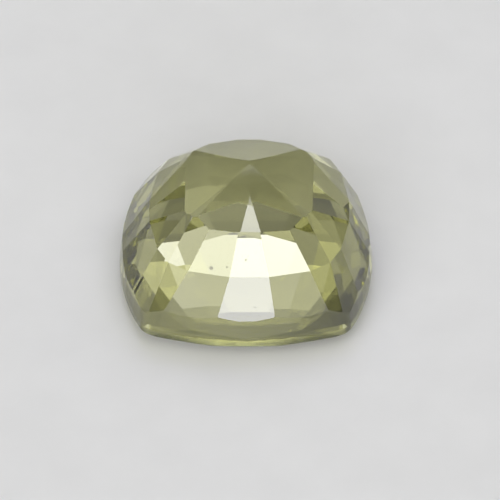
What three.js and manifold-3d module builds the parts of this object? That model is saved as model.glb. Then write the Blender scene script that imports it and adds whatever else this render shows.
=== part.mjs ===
// A cushion cut sapphire: one faceted crystal that lies on its table, with the point up.
// Frame: millimetres, +Z up, origin at the middle of the table, the front end of the stone at -Y.
// A turn is in degrees round the upright axis, from the front end towards +X.

import * as THREE from "three";
import { mergeVertices } from "three/addons/utils/BufferGeometryUtils.js";
import Module from "manifold-3d";

// Outer sizes
const WIDTH = 6.3;
const DEPTH = 5.88;
const CROWN_HEIGHT = 0.4;
const GIRDLE_HEIGHT = 0.19;
const PAVILION_HEIGHT = 3.366;

// Cushion outline: four bowed sides joined by tight corners
const SIDE_BOW_RADIUS = 5.3;
const END_BOW_RADIUS = 7;
const CORNER_RADIUS = 0.54;
const ARC_SEGMENTS = 10;

// Pavilion: a low cap round the point, two steps of facets in columns, and a steep rim.
// Heights of the edges between them over the girdle
const CAP_EDGE = 2.53;
const MIDDLE_EDGE = 1.67;
const RIM_EDGE = 0.6;
const RIM_FACETS = 96;
const RIM_SLOPE = 83.1;

// The stone is a little uneven: its point stands off centre, and the cap is turned
const POINT_SHIFT = 0.084;
const CAP_TURN = 1.1;

// Columns of the steps: the turn, and how far the cap, middle and rim edges reach from the axis.
// A column with a bulge reaches that much further at its rim edge behind.
const COLUMNS = [
  { turn: 0, reaches: [1.66, 2.38, 2.87] },
  { turn: 11.8, reaches: [1.68, 2.43, 2.96], bulge: 0.04 },
  { turn: 32, reaches: [1.8, 2.64, 3.3], bulge: 0.04 },
  { turn: 61, reaches: [1.855, 2.66, 3.25] },
  { turn: 78.5, reaches: [1.735, 2.51, 3.05] },
  { turn: 90, reaches: [1.59, 2.485, 3.05] },
];

// Cap facets: one with a reach is cut down to the cap edge, the others run up to the point
const CAP_FACETS = [
  { turn: 0, slope: 27.6, reach: 1.66 },
  { turn: 14.8, slope: 26.6 },
  { turn: 61, slope: 23.4 },
  { turn: 78, slope: 24.7 },
  { turn: 90, slope: 27, reach: 1.59 },
];

// Crown: eight mains and sixteen halves along the girdle, eight stars round the table
const CROWN_MAINS = [
  { turn: 0, slope: 22 },
  { turn: 45, slope: 24 },
  { turn: 90, slope: 22 },
];
const HALF_TURNS = [13, 31, 58, 77];
const HALF_SLOPE = 30;
const STAR_TURNS = [22, 68];
const STAR_SLOPE = 11;
const TABLE_SHARE = 0.48;

const girdleTop = CROWN_HEIGHT + GIRDLE_HEIGHT;
const pointHeight = girdleTop + PAVILION_HEIGHT;

// The bows' centres lie on the other side of the axis
const sideBowX = WIDTH / 2 - SIDE_BOW_RADIUS;
const endBowY = DEPTH / 2 - END_BOW_RADIUS;

// Centre of a corner arc, where both bows meet once they are moved in by the corner radius
function cornerCentre() {
  const sideRadius = SIDE_BOW_RADIUS - CORNER_RADIUS;
  const endRadius = END_BOW_RADIUS - CORNER_RADIUS;
  const span = Math.hypot(sideBowX, endBowY);
  const along = (sideRadius ** 2 - endRadius ** 2 + span ** 2) / (2 * span);
  const across = Math.sqrt(sideRadius ** 2 - along ** 2);
  const stepX = -sideBowX / span;
  const stepY = endBowY / span;
  const x = sideBowX + along * stepX - across * stepY;
  const y = along * stepY + across * stepX;
  return { x, y };
}

const corner = cornerCentre();

// Where the arcs meet, as angles from the +X axis
const sideBowEnd = Math.atan2(corner.y, corner.x - sideBowX);
const endBowEnd = Math.atan2(corner.y - endBowY, corner.x);

// How far the outline reaches from the axis at a turn
function outlineReach(turn) {
  const angle = THREE.MathUtils.degToRad(turn);
  const x = Math.abs(Math.sin(angle));
  const y = Math.abs(Math.cos(angle));
  const direction = Math.atan2(y, x);
  if (direction < sideBowEnd) return sideBowX * x + SIDE_BOW_RADIUS;
  if (direction > endBowEnd) return endBowY * y + END_BOW_RADIUS;
  return corner.x * x + corner.y * y + CORNER_RADIUS;
}

// The cushion blank, upright from the table to the height of the point
function blank() {
  const outline = new THREE.Shape();
  const half = Math.PI;
  const { x, y } = corner;
  outline.absarc(sideBowX, 0, SIDE_BOW_RADIUS, -sideBowEnd, sideBowEnd);
  outline.absarc(x, y, CORNER_RADIUS, sideBowEnd, endBowEnd);
  outline.absarc(0, endBowY, END_BOW_RADIUS, endBowEnd, half - endBowEnd);
  outline.absarc(-x, y, CORNER_RADIUS, half - endBowEnd, half - sideBowEnd);
  outline.absarc(-sideBowX, 0, SIDE_BOW_RADIUS, half - sideBowEnd, half + sideBowEnd);
  outline.absarc(-x, -y, CORNER_RADIUS, half + sideBowEnd, half + endBowEnd);
  outline.absarc(0, -endBowY, END_BOW_RADIUS, half + endBowEnd, 2 * half - endBowEnd);
  outline.absarc(x, -y, CORNER_RADIUS, -endBowEnd, -sideBowEnd);
  return new THREE.ExtrudeGeometry(outline, {
    depth: pointHeight,
    bevelEnabled: false,
    curveSegments: ARC_SEGMENTS,
  });
}

// A turn and its mirror images in the other quarters of the stone
function mirroredTurns(turn) {
  if (turn % 90 === 0) return [turn, turn + 180];
  return [turn, 180 - turn, 180 + turn, 360 - turn];
}

// How far out the shift of the point moves a facet at a turn
function shift(turn) {
  return POINT_SHIFT * Math.sin(THREE.MathUtils.degToRad(turn));
}

// A facet passes through the place at its turn, reach from the axis and height over the table.
// Its slope is its angle from level. A facet of the crown faces down.
function facet(turn, slope, reach, height, down = false) {
  return { turn, slope, reach, height, down };
}

function capFacets() {
  const facets = [];
  for (const { turn: plainTurn, slope, reach } of CAP_FACETS) {
    for (const mirrored of mirroredTurns(plainTurn)) {
      const turn = mirrored + CAP_TURN;
      if (reach) facets.push(facet(turn, slope, reach + shift(turn), girdleTop + CAP_EDGE));
      else facets.push(facet(turn, slope, shift(turn), pointHeight));
    }
  }
  return facets;
}

// The facet of a column between an upper and a lower edge, each a reach at a height
function stepFacet(turn, upper, lower) {
  const slope = Math.atan2(upper.height - lower.height, lower.reach - upper.reach);
  return facet(turn, THREE.MathUtils.radToDeg(slope), upper.reach, upper.height);
}

function stepFacets() {
  const facets = [];
  for (const { turn: plainTurn, reaches, bulge = 0 } of COLUMNS) {
    for (const turn of mirroredTurns(plainTurn)) {
      const behind = turn > 90 && turn < 270;
      const cap = { reach: reaches[0] + shift(turn), height: girdleTop + CAP_EDGE };
      const middle = { reach: reaches[1] + shift(turn), height: girdleTop + MIDDLE_EDGE };
      const rim = { reach: reaches[2] + (behind ? bulge : 0), height: girdleTop + RIM_EDGE };
      facets.push(stepFacet(turn, cap, middle), stepFacet(turn, middle, rim));
    }
  }
  return facets;
}

function rimFacets() {
  const turns = Array.from({ length: RIM_FACETS }, (_, i) => (360 * i) / RIM_FACETS);
  return turns.map((turn) => facet(turn, RIM_SLOPE, outlineReach(turn), girdleTop));
}

function crownFacets() {
  const fromGirdle = (turn, slope) => facet(turn, slope, outlineReach(turn), CROWN_HEIGHT, true);
  const fromTable = (turn) => facet(turn, STAR_SLOPE, TABLE_SHARE * outlineReach(turn), 0, true);
  const mains = CROWN_MAINS.flatMap(({ turn, slope }) =>
    mirroredTurns(turn).map((mirrored) => fromGirdle(mirrored, slope)),
  );
  const halves = HALF_TURNS.flatMap(mirroredTurns).map((turn) => fromGirdle(turn, HALF_SLOPE));
  const stars = STAR_TURNS.flatMap(mirroredTurns).map(fromTable);
  return [...mains, ...halves, ...stars];
}

// The block of rough that lies outside a facet
function waste({ turn, slope, reach, height, down }) {
  const size = 4 * WIDTH;
  const angle = THREE.MathUtils.degToRad(turn);
  const tilt = THREE.MathUtils.degToRad(slope);
  const outward = new THREE.Vector3(Math.sin(angle), -Math.cos(angle), 0);
  const normal = outward.clone().multiplyScalar(Math.sin(tilt));
  normal.z = down ? -Math.cos(tilt) : Math.cos(tilt);
  const centre = outward.multiplyScalar(reach).setZ(height).addScaledVector(normal, size / 2);
  const upright = new THREE.Vector3(0, 0, 1);
  const block = new THREE.BoxGeometry(size, size, size);
  block.applyQuaternion(new THREE.Quaternion().setFromUnitVectors(upright, normal));
  return block.translate(centre.x, centre.y, centre.z);
}

const wasm = await Module();
wasm.setup();

function toSolid(geometry) {
  geometry.deleteAttribute("normal");
  geometry.deleteAttribute("uv");
  const merged = mergeVertices(geometry, 1e-5);
  const vertProperties = merged.attributes.position.array;
  const triVerts = new Uint32Array(merged.index.array);
  return new wasm.Manifold(new wasm.Mesh({ numProp: 3, vertProperties, triVerts }));
}

function toGeometry(solid) {
  const { vertProperties, triVerts } = solid.getMesh();
  const geometry = new THREE.BufferGeometry();
  geometry.setAttribute("position", new THREE.BufferAttribute(vertProperties, 3));
  geometry.setIndex(new THREE.BufferAttribute(triVerts, 1));
  const faceted = geometry.toNonIndexed();
  faceted.computeVertexNormals();
  return faceted;
}

// Every facet is ground onto the blank in turn
const cuts = [...rimFacets(), ...stepFacets(), ...capFacets(), ...crownFacets()];
const stone = cuts.reduce((solid, cut) => solid.subtract(toSolid(waste(cut))), toSolid(blank()));

const crystal = new THREE.MeshStandardMaterial({
  color: 0x9a9c66,
  roughness: 0.05,
  metalness: 0,
  transparent: true,
  opacity: 0.6,
});

const sapphire = new THREE.Mesh(toGeometry(stone), crystal);
sapphire.name = "sapphire";

const part = new THREE.Group();
part.add(sapphire);

export default part;
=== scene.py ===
import math

import bpy
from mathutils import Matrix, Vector

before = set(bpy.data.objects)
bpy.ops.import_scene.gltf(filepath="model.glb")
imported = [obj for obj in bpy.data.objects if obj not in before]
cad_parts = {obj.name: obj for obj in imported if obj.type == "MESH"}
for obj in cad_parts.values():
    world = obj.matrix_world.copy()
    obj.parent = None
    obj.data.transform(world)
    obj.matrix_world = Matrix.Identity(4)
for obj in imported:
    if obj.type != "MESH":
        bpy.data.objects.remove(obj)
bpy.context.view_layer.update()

MM = 0.001

# Camera: far off with a long lens, so its picture is nearly parallel. The aim is off the stone's axis
# by these two lengths in the picture, at the height of the upper edge of the girdle. It shows what
# lies between the clip shares of its distance. A separate program fitted the elevation and the aim to
# the photograph.
CAMERA_ELEVATION = 44.1
CAMERA_DISTANCE = 500 * MM
PICTURE_WIDTH = 12.48 * MM
AIM_HEIGHT = 0.59 * MM
AIM_RIGHT = 0.102 * MM
AIM_UP = 0.217 * MM
SENSOR_WIDTH = 36
CLIP_START_SHARE = 0.1
CLIP_END_SHARE = 20

# Sapphire: ordinary refractive index, and the density and colour of its even absorption. A separate
# program fitted the absorption to the colours of the photograph.
SAPPHIRE_IOR = 1.77
ABSORPTION_DENSITY = 170
ABSORPTION_COLOUR = (0.64, 0.64, 0.07)

# Girdle band between the crown and the pavilion. It is finely frosted. Its lower side, next to the
# paper, is painted greyer: painted shade and a painted reflection of the paper.
GIRDLE_LOW = 0.4 * MM
GIRDLE_HIGH = 0.59 * MM
GIRDLE_SOFT = 0.01 * MM
GIRDLE_GRAIN = 0.15 * MM
GRAIN_DETAIL = 4
FROSTED = 0.3
# Painted shade and painted reflection of the paper on the girdle's lower side: its top height, soft
# margin and grey tint
PAINTED_SHADE_HIGH = 0.5 * MM
PAINTED_SHADE_SOFT = 0.06 * MM
PAINTED_SHADE_TINT = (0.45, 0.48, 0.56)

# The facets are polished, with a very faint waviness
POLISHED = 0.0
POLISH_WAVE = 1.2 * MM
POLISH_DEPTH = 0.0004 * MM
WAVE_DETAIL = 1

# Small dark specks on the front facets: place and radius in millimetres. A speck is at its darkest
# out to its core, which is a share of the radius.
SPECK_TINT = (0.16, 0.15, 0.12)
SPECK_CORE = 0.5
SPECKS = [
    ((0.0, -2.106, 2.587), 0.04),
    ((-0.859, -2.179, 2.379), 0.07),
    ((-0.472, -2.206, 2.44), 0.03),
    ((0.227, -2.71, 1.539), 0.03),
]

# Sockets of a mix node that mixes colours: factor, first and second colour, and the result
MIX_COLOUR_INPUTS = (0, 6, 7)
MIX_COLOUR_OUTPUT = 2

# Paper under the stone, a hair below the table so that light is still reflected inside the stone
FLOOR_HALF = 1.0
FLOOR_GAP = 0.02 * MM
PAPER_TONE = 0.72
PAPER_ROUGHNESS = 0.9
PAPER_GLOSS = 0.2
PAPER_MOTTLE = 0.012
PAPER_MOTTLE_SIZE = 1.5 * MM
MOTTLE_DETAIL = 3
MOTTLE_NOISE_LOW = 0.3
MOTTLE_NOISE_HIGH = 0.7

# Light is reflected many times inside the stone, so its paths are long
LIGHT_BOUNCES = 32

# Studio: softboxes on a sphere round the stone
LIGHT_DISTANCE = 2000 * MM


def direction(azimuth, elevation):
    """Unit vector from the stone: azimuth 0 is the camera's side, 90 is the picture's right."""
    a = math.radians(azimuth)
    e = math.radians(elevation)
    return Vector((math.sin(a) * math.cos(e), -math.cos(a) * math.cos(e), math.sin(e)))


def softbox(name, azimuth, elevation, width, height, radiance, blue):
    """A rectangular light that spans width by height degrees, seen from the stone."""
    light = bpy.data.lights.new(name, "AREA")
    light.color = (1, 1, blue)
    light.shape = "RECTANGLE"
    light.size = 2 * LIGHT_DISTANCE * math.tan(math.radians(width / 2))
    light.size_y = 2 * LIGHT_DISTANCE * math.tan(math.radians(height / 2))
    light.energy = radiance * light.size * light.size_y * math.pi
    box = bpy.data.objects.new(name, light)
    towards = direction(azimuth, elevation)
    box.location = towards * LIGHT_DISTANCE
    box.rotation_euler = towards.to_track_quat("Z", "Y").to_euler()
    bpy.context.scene.collection.objects.link(box)


# Softboxes: name, azimuth, elevation, width and height in degrees, radiance, and blue beside red and
# green. Blue under 1 is warm like a lamp, over 1 cool like daylight. A separate program fitted nearly
# all of these numbers to the tones of the photograph. They aren't a plain studio set by hand.
SOFTBOXES = [
    ("front_left", -18, 37.5, 60, 20.5, 1.93, 1.05),
    ("front_low", -6.5, 2, 13.5, 24, 1.68, 1.4),
    ("front", 0, 26, 70, 50, 1.16, 1),
    ("front_low_2", 6.5, 9.5, 27, 13.5, 1.65, 1.4),
    ("overhead", 29.5, 84, 10.5, 7, 2.3, 1.05),
    ("left", -140, 34.5, 15.5, 27.5, 0.3, 0.6),
    ("left_low", -139.5, 7.5, 19, 12.5, 0.31, 0.6),
    ("left_2", -114, 57.5, 24, 21.5, 0.33, 0.75),
    ("left_3", -105.5, 32, 38.5, 38, 0.22, 0.6),
    ("left_horizon", -95, 0, 38, 9, 0.78, 0.75),
    ("left_high", -64, 70.5, 30.5, 34.5, 0.23, 0.6),
    ("left_4", -53, 41, 42, 39.5, 0.17, 1.05),
    ("right", 55, 58.5, 38, 32.5, 0.17, 1.35),
    ("overhead_2", 91.5, 82.5, 9.5, 40, 1.17, 0.85),
    ("right_2", 120, 54, 11, 27.5, 0.7, 1.8),
    ("right_3", 131, 35.5, 35.5, 20, 0.38, 0.8),
    ("right_4", 140, 52.5, 36, 10.5, 0.46, 1.05),
    ("back_high_left", -168, 65, 24.5, 28.5, 0.53, 1.8),
    ("back_high_left_2", -163, 66.5, 17.5, 28, 0.4, 1.8),
    ("back_high_right", 156, 62, 31.5, 18, 0.26, 1.35),
    ("back", 172.5, 40, 36.5, 11, 0.17, 1.25),
    ("back_high", 180, 51, 25, 6, 0.67, 0.6),
    ("key", 0, 62, 70, 24, 1.58, 0.85),
]

# Even light of the dome, and its soft glows: azimuth, elevation, sharpness, radiance, blue. The same
# program fitted these.
DOME_AMBIENT = 0.07
GLOWS = [
    (171, 58, 11, 0.71, 1.06),
    (135, 0, 60, 0.44, 0.86),
    (99, 31, 18, 0.45, 0.75),
    (-149, 47, 48, 0.39, 0.6),
    (159, 0, 3, 0.21, 0.6),
]


def dome():
    """The world: a faint even light with soft glows beside and behind the stone."""
    world = bpy.data.worlds.new("dome")
    world.use_nodes = True
    nodes = world.node_tree.nodes
    links = world.node_tree.links
    background = nodes["Background"]
    sky = nodes.new("ShaderNodeTexCoord").outputs["Generated"]
    total = None
    for azimuth, elevation, sharpness, radiance, blue in GLOWS:
        facing = nodes.new("ShaderNodeVectorMath")
        facing.operation = "DOT_PRODUCT"
        facing.inputs[1].default_value = direction(azimuth, elevation)
        links.new(sky, facing.inputs[0])
        front = nodes.new("ShaderNodeMath")
        front.operation = "MAXIMUM"
        front.inputs[1].default_value = 0
        links.new(facing.outputs["Value"], front.inputs[0])
        falloff = nodes.new("ShaderNodeMath")
        falloff.operation = "POWER"
        falloff.inputs[1].default_value = sharpness
        links.new(front.outputs["Value"], falloff.inputs[0])
        glow = nodes.new("ShaderNodeVectorMath")
        glow.operation = "MULTIPLY_ADD"
        glow.inputs[1].default_value = radiance * Vector((1, 1, blue))
        glow.inputs[2].default_value = DOME_AMBIENT * Vector((1, 1, 1))
        links.new(falloff.outputs["Value"], glow.inputs[0])
        if total:
            links.new(total, glow.inputs[2])
        total = glow.outputs["Vector"]
    links.new(total, background.inputs["Color"])
    bpy.context.scene.world = world


def studio():
    for box in SOFTBOXES:
        softbox(*box)
    dome()


def between(nodes, links, value, low, high, soft):
    """1 where a value lies between low and high, falling to 0 over a soft margin outside."""
    rise = nodes.new("ShaderNodeMapRange")
    rise.inputs["From Min"].default_value = low - soft
    rise.inputs["From Max"].default_value = low
    links.new(value, rise.inputs["Value"])
    fall = nodes.new("ShaderNodeMapRange")
    fall.inputs["From Min"].default_value = high + soft
    fall.inputs["From Max"].default_value = high
    links.new(value, fall.inputs["Value"])
    both = nodes.new("ShaderNodeMath")
    both.operation = "MULTIPLY"
    links.new(rise.outputs["Result"], both.inputs[0])
    links.new(fall.outputs["Result"], both.inputs[1])
    return both.outputs["Value"]


def noise(nodes, links, place, size, detail):
    """Noise whose features are about as big as size, in metres."""
    texture = nodes.new("ShaderNodeTexNoise")
    texture.inputs["Scale"].default_value = 1 / size
    texture.inputs["Detail"].default_value = detail
    links.new(place, texture.inputs["Vector"])
    return texture.outputs["Fac"]


def tinted(nodes, links, colour, mask, tint):
    """A colour with a tint over it where the mask is 1. Without a colour the ground is white."""
    mix = nodes.new("ShaderNodeMix")
    mix.data_type = "RGBA"
    factor, ground, top = (mix.inputs[index] for index in MIX_COLOUR_INPUTS)
    links.new(mask, factor)
    ground.default_value = (1, 1, 1, 1)
    if colour:
        links.new(colour, ground)
    top.default_value = (*tint, 1)
    return mix.outputs[MIX_COLOUR_OUTPUT]


def specks(nodes, links, place):
    """1 inside the small specks on the facets, falling to 0 at their rims."""
    mask = None
    for centre, radius in SPECKS:
        away = nodes.new("ShaderNodeVectorMath")
        away.operation = "DISTANCE"
        away.inputs[1].default_value = Vector(centre) * MM
        links.new(place, away.inputs[0])
        dot = nodes.new("ShaderNodeMapRange")
        dot.inputs["From Min"].default_value = radius * MM
        dot.inputs["From Max"].default_value = SPECK_CORE * radius * MM
        links.new(away.outputs["Value"], dot.inputs["Value"])
        if mask:
            both = nodes.new("ShaderNodeMath")
            both.operation = "MAXIMUM"
            links.new(mask, both.inputs[0])
            links.new(dot.outputs["Result"], both.inputs[1])
            mask = both.outputs["Value"]
        else:
            mask = dot.outputs["Result"]
    return mask


def sapphire_material():
    material = bpy.data.materials.new("sapphire")
    material.use_nodes = True
    nodes = material.node_tree.nodes
    links = material.node_tree.links
    shader = nodes["Principled BSDF"]
    shader.inputs["IOR"].default_value = SAPPHIRE_IOR
    shader.inputs["Transmission Weight"].default_value = 1
    absorption = nodes.new("ShaderNodeVolumeAbsorption")
    absorption.inputs["Color"].default_value = (*ABSORPTION_COLOUR, 1)
    absorption.inputs["Density"].default_value = ABSORPTION_DENSITY
    links.new(absorption.outputs["Volume"], nodes["Material Output"].inputs["Volume"])

    place = nodes.new("ShaderNodeTexCoord").outputs["Object"]
    height = nodes.new("ShaderNodeSeparateXYZ")
    links.new(place, height.inputs["Vector"])
    girdle = between(nodes, links, height.outputs["Z"], GIRDLE_LOW, GIRDLE_HIGH, GIRDLE_SOFT)
    grain = noise(nodes, links, place, GIRDLE_GRAIN, GRAIN_DETAIL)
    frost = nodes.new("ShaderNodeMath")
    frost.operation = "MULTIPLY"
    links.new(girdle, frost.inputs[0])
    links.new(grain, frost.inputs[1])
    roughness = nodes.new("ShaderNodeMapRange")
    roughness.inputs["To Min"].default_value = POLISHED
    roughness.inputs["To Max"].default_value = FROSTED
    links.new(frost.outputs["Value"], roughness.inputs["Value"])
    links.new(roughness.outputs["Result"], shader.inputs["Roughness"])

    # Painted shade and painted reflection of the paper: the girdle's lower side is tinted grey in the
    # base colour
    painted_girdle_shade = between(nodes, links, height.outputs["Z"], GIRDLE_LOW, PAINTED_SHADE_HIGH, PAINTED_SHADE_SOFT)
    colour = tinted(nodes, links, None, painted_girdle_shade, PAINTED_SHADE_TINT)
    colour = tinted(nodes, links, colour, specks(nodes, links, place), SPECK_TINT)
    links.new(colour, shader.inputs["Base Color"])

    bump = nodes.new("ShaderNodeBump")
    bump.inputs["Strength"].default_value = 1
    bump.inputs["Distance"].default_value = POLISH_DEPTH
    links.new(noise(nodes, links, place, POLISH_WAVE, WAVE_DETAIL), bump.inputs["Height"])
    links.new(bump.outputs["Normal"], shader.inputs["Normal"])
    return material


def floor():
    z = -FLOOR_GAP
    corners = [(x * FLOOR_HALF, y * FLOOR_HALF, z) for x, y in ((-1, -1), (1, -1), (1, 1), (-1, 1))]
    mesh = bpy.data.meshes.new("floor")
    mesh.from_pydata(corners, [], [(0, 1, 2, 3)])
    sheet = bpy.data.objects.new("floor", mesh)
    bpy.context.scene.collection.objects.link(sheet)
    mesh.materials.append(paper_material())


def paper_material():
    material = bpy.data.materials.new("paper")
    material.use_nodes = True
    nodes = material.node_tree.nodes
    links = material.node_tree.links
    shader = nodes["Principled BSDF"]
    shader.inputs["Roughness"].default_value = PAPER_ROUGHNESS
    shader.inputs["Specular IOR Level"].default_value = PAPER_GLOSS
    place = nodes.new("ShaderNodeTexCoord").outputs["Object"]
    tone = nodes.new("ShaderNodeMapRange")
    tone.inputs["From Min"].default_value = MOTTLE_NOISE_LOW
    tone.inputs["From Max"].default_value = MOTTLE_NOISE_HIGH
    tone.inputs["To Min"].default_value = PAPER_TONE - PAPER_MOTTLE
    tone.inputs["To Max"].default_value = PAPER_TONE + PAPER_MOTTLE
    links.new(noise(nodes, links, place, PAPER_MOTTLE_SIZE, MOTTLE_DETAIL), tone.inputs["Value"])
    links.new(tone.outputs["Result"], shader.inputs["Base Color"])
    return material


def camera():
    data = bpy.data.cameras.new("camera")
    data.sensor_width = SENSOR_WIDTH
    data.lens = SENSOR_WIDTH * CAMERA_DISTANCE / PICTURE_WIDTH
    data.clip_start = CLIP_START_SHARE * CAMERA_DISTANCE
    data.clip_end = CLIP_END_SHARE * CAMERA_DISTANCE
    seen_from = direction(0, CAMERA_ELEVATION)
    turned = (-seen_from).to_track_quat("-Z", "Y")
    right = turned @ Vector((1, 0, 0))
    up = turned @ Vector((0, 1, 0))
    aim = Vector((0, 0, AIM_HEIGHT)) + AIM_RIGHT * right + AIM_UP * up
    body = bpy.data.objects.new("camera", data)
    body.location = aim + CAMERA_DISTANCE * seen_from
    body.rotation_euler = turned.to_euler()
    bpy.context.scene.collection.objects.link(body)
    bpy.context.scene.camera = body


def light_paths():
    scene = bpy.context.scene
    scene.view_settings.view_transform = "Standard"
    scene.cycles.max_bounces = LIGHT_BOUNCES
    scene.cycles.glossy_bounces = LIGHT_BOUNCES
    scene.cycles.transmission_bounces = LIGHT_BOUNCES


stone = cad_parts["sapphire"]
stone.material_slots[0].material = sapphire_material()
floor()
studio()
camera()
light_paths()
